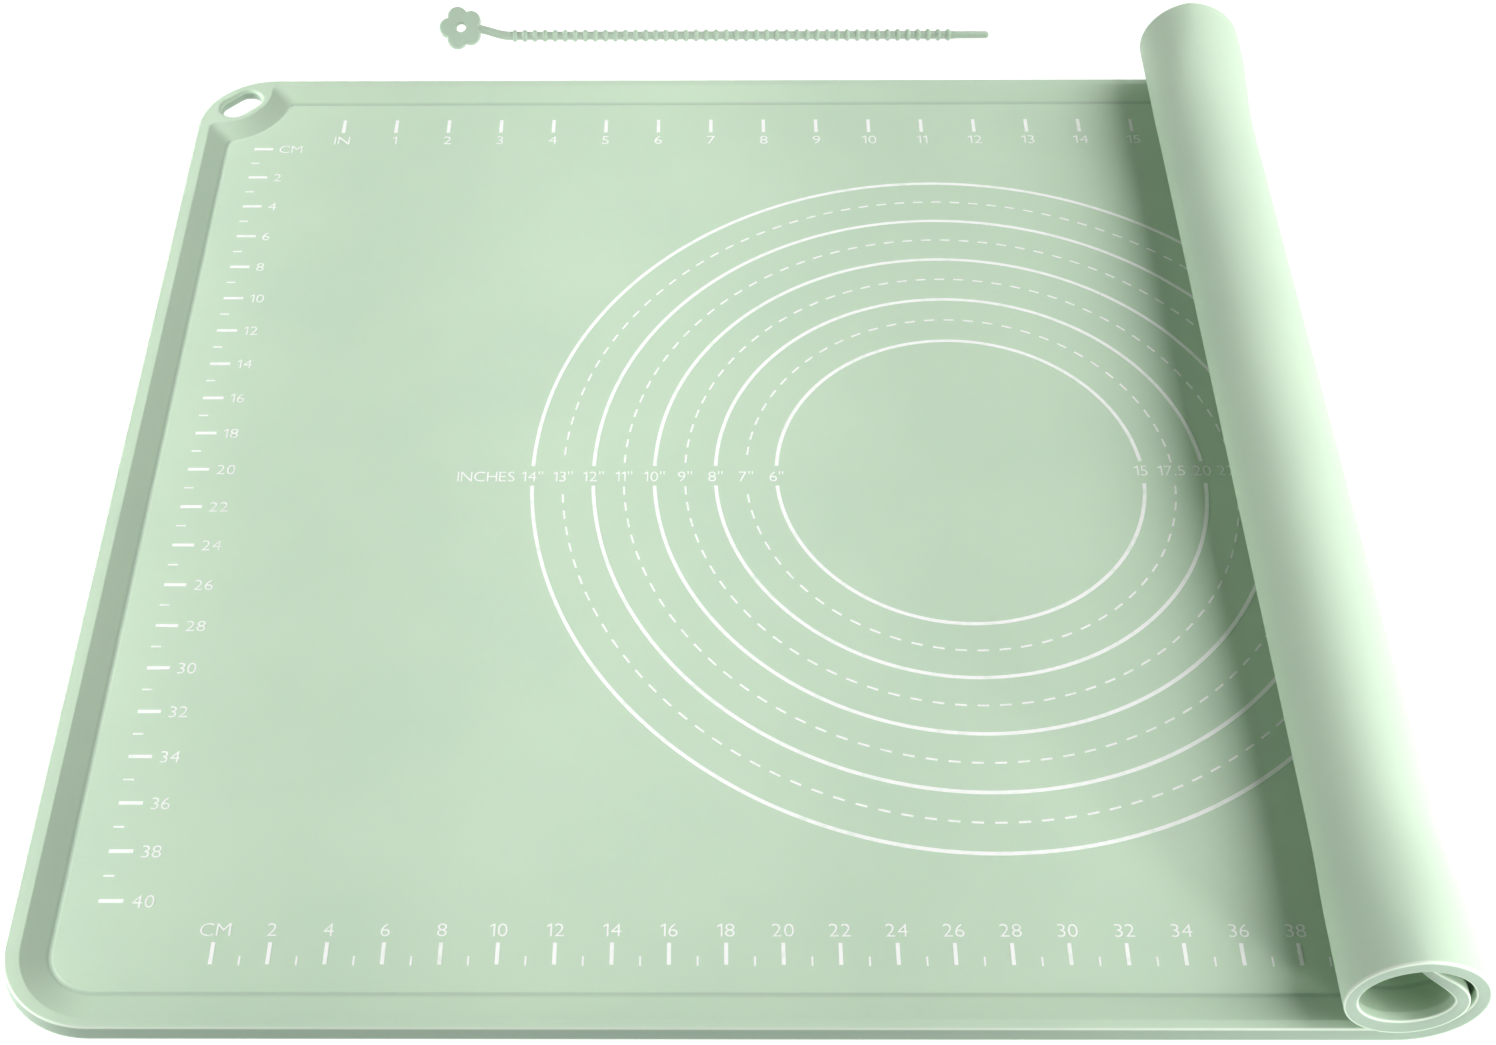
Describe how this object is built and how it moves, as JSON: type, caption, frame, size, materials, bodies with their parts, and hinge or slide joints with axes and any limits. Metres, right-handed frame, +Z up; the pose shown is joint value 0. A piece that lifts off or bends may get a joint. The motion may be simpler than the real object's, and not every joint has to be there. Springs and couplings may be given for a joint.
{
  "type": "silicone baking mat",
  "caption": "Rectangular silicone baking and pastry mat with a raised rim, ruler scales, ring guides and a hanging eye, one end rolled up, with a beaded silicone tie.",
  "frame": {"origin": "centre of the printed pastry rings, on the plane of the mat's underside", "axes": "+X along the long side towards the rolled end, +Y to the back edge, +Z up"},
  "size_m": [0.5042, 0.5454, 0.0526],
  "materials": {
    "mat_silicone": "satin",
    "tie_silicone": "satin",
    "white_ink": "matte"
  },
  "bodies": {
    "mat": {"mat_panel": "mat_silicone", "printed_pastry_rings": "white_ink", "printed_inch_scale": "white_ink", "printed_front_centimetre_scale": "white_ink", "printed_side_centimetre_scale": "white_ink"},
    "roll_section_01": {"roll_section_01": "mat_silicone"},
    "roll_section_02": {"roll_section_02": "mat_silicone"},
    "roll_section_03": {"roll_section_03": "mat_silicone"},
    "roll_section_04": {"roll_section_04": "mat_silicone"},
    "roll_section_05": {"roll_section_05": "mat_silicone"},
    "roll_section_06": {"roll_section_06": "mat_silicone"},
    "roll_section_07": {"roll_section_07": "mat_silicone"},
    "roll_section_08": {"roll_section_08": "mat_silicone"},
    "roll_section_09": {"roll_section_09": "mat_silicone"},
    "roll_section_10": {"roll_section_10": "mat_silicone"},
    "roll_section_11": {"roll_section_11": "mat_silicone"},
    "roll_section_12": {"roll_section_12": "mat_silicone"},
    "roll_section_13": {"roll_section_13": "mat_silicone"},
    "roll_section_14": {"roll_section_14": "mat_silicone"},
    "roll_section_15": {"roll_section_15": "mat_silicone"},
    "roll_section_16": {"roll_section_16": "mat_silicone"},
    "roll_section_17": {"roll_section_17": "mat_silicone"},
    "roll_section_18": {"roll_section_18": "mat_silicone"},
    "roll_section_19": {"roll_section_19": "mat_silicone"},
    "roll_section_20": {"roll_section_20": "mat_silicone"},
    "tie": {"beaded_tie": "tie_silicone"}
  },
  "joints": [
    {"name": "unroll_01", "type": "hinge", "parent": "mat", "child": "roll_section_01", "pos_m": [0.12694, 0, 0], "axis": [0, 1, 0], "range_deg": [0, 11.58]},
    {"name": "unroll_02", "type": "hinge", "parent": "roll_section_01", "child": "roll_section_02", "pos_m": [0.13779, 0, 0.00222], "axis": [0, 1, 0], "range_deg": [0, 23.32]},
    {"name": "unroll_03", "type": "hinge", "parent": "roll_section_02", "child": "roll_section_03", "pos_m": [0.14687, 0, 0.00856], "axis": [0, 1, 0], "range_deg": [0, 23.65]},
    {"name": "unroll_04", "type": "hinge", "parent": "roll_section_03", "child": "roll_section_04", "pos_m": [0.15265, 0, 0.018], "axis": [0, 1, 0], "range_deg": [0, 24.01]},
    {"name": "unroll_05", "type": "hinge", "parent": "roll_section_04", "child": "roll_section_05", "pos_m": [0.15409, 0, 0.02898], "axis": [0, 1, 0], "range_deg": [0, 24.37]},
    {"name": "unroll_06", "type": "hinge", "parent": "roll_section_05", "child": "roll_section_06", "pos_m": [0.15087, 0, 0.03957], "axis": [0, 1, 0], "range_deg": [0, 24.75]},
    {"name": "unroll_07", "type": "hinge", "parent": "roll_section_06", "child": "roll_section_07", "pos_m": [0.14351, 0, 0.04784], "axis": [0, 1, 0], "range_deg": [0, 25.16]},
    {"name": "unroll_08", "type": "hinge", "parent": "roll_section_07", "child": "roll_section_08", "pos_m": [0.13334, 0, 0.05219], "axis": [0, 1, 0], "range_deg": [0, 25.58]},
    {"name": "unroll_09", "type": "hinge", "parent": "roll_section_08", "child": "roll_section_09", "pos_m": [0.12229, 0, 0.05173], "axis": [0, 1, 0], "range_deg": [0, 26.02]},
    {"name": "unroll_10", "type": "hinge", "parent": "roll_section_09", "child": "roll_section_10", "pos_m": [0.11257, 0, 0.04646], "axis": [0, 1, 0], "range_deg": [0, 26.49]},
    {"name": "unroll_11", "type": "hinge", "parent": "roll_section_10", "child": "roll_section_11", "pos_m": [0.10621, 0, 0.03742], "axis": [0, 1, 0], "range_deg": [0, 26.98]},
    {"name": "unroll_12", "type": "hinge", "parent": "roll_section_11", "child": "roll_section_12", "pos_m": [0.10466, 0, 0.02648], "axis": [0, 1, 0], "range_deg": [0, 27.51]},
    {"name": "unroll_13", "type": "hinge", "parent": "roll_section_12", "child": "roll_section_13", "pos_m": [0.10832, 0, 0.01606], "axis": [0, 1, 0], "range_deg": [0, 28.06]},
    {"name": "unroll_14", "type": "hinge", "parent": "roll_section_13", "child": "roll_section_14", "pos_m": [0.11646, 0, 0.0086], "axis": [0, 1, 0], "range_deg": [0, 28.65]},
    {"name": "unroll_15", "type": "hinge", "parent": "roll_section_14", "child": "roll_section_15", "pos_m": [0.12717, 0, 0.00595], "axis": [0, 1, 0], "range_deg": [0, 29.28]},
    {"name": "unroll_16", "type": "hinge", "parent": "roll_section_15", "child": "roll_section_16", "pos_m": [0.13781, 0, 0.00888], "axis": [0, 1, 0], "range_deg": [0, 29.95]},
    {"name": "unroll_17", "type": "hinge", "parent": "roll_section_16", "child": "roll_section_17", "pos_m": [0.14556, 0, 0.01672], "axis": [0, 1, 0], "range_deg": [0, 33.15]},
    {"name": "unroll_18", "type": "hinge", "parent": "roll_section_17", "child": "roll_section_18", "pos_m": [0.14775, 0, 0.02747], "axis": [0, 1, 0], "range_deg": [0, 48]},
    {"name": "unroll_19", "type": "hinge", "parent": "roll_section_18", "child": "roll_section_19", "pos_m": [0.14142, 0, 0.03603], "axis": [0, 1, 0], "range_deg": [0, 32]},
    {"name": "unroll_20", "type": "hinge", "parent": "roll_section_19", "child": "roll_section_20", "pos_m": [0.13104, 0, 0.04012], "axis": [0, 1, 0], "range_deg": [0, 2]},
    {"name": "tie_lift_off", "type": "slide", "parent": "mat", "child": "tie", "axis": [0, 0, 1], "range_m": [0, 0.1]}
  ],
  "couplings": [
    {"joint": "unroll_02", "follows": "unroll_01", "ratio": 2.0142},
    {"joint": "unroll_03", "follows": "unroll_01", "ratio": 2.0432},
    {"joint": "unroll_04", "follows": "unroll_01", "ratio": 2.0734},
    {"joint": "unroll_05", "follows": "unroll_01", "ratio": 2.105},
    {"joint": "unroll_06", "follows": "unroll_01", "ratio": 2.1382},
    {"joint": "unroll_07", "follows": "unroll_01", "ratio": 2.1729},
    {"joint": "unroll_08", "follows": "unroll_01", "ratio": 2.2094},
    {"joint": "unroll_09", "follows": "unroll_01", "ratio": 2.2477},
    {"joint": "unroll_10", "follows": "unroll_01", "ratio": 2.2881},
    {"joint": "unroll_11", "follows": "unroll_01", "ratio": 2.3308},
    {"joint": "unroll_12", "follows": "unroll_01", "ratio": 2.376},
    {"joint": "unroll_13", "follows": "unroll_01", "ratio": 2.4238},
    {"joint": "unroll_14", "follows": "unroll_01", "ratio": 2.4746},
    {"joint": "unroll_15", "follows": "unroll_01", "ratio": 2.5288},
    {"joint": "unroll_16", "follows": "unroll_01", "ratio": 2.5866},
    {"joint": "unroll_17", "follows": "unroll_01", "ratio": 2.8631},
    {"joint": "unroll_18", "follows": "unroll_01", "ratio": 4.1463},
    {"joint": "unroll_19", "follows": "unroll_01", "ratio": 2.7642},
    {"joint": "unroll_20", "follows": "unroll_01", "ratio": 0.17276}
  ]
}
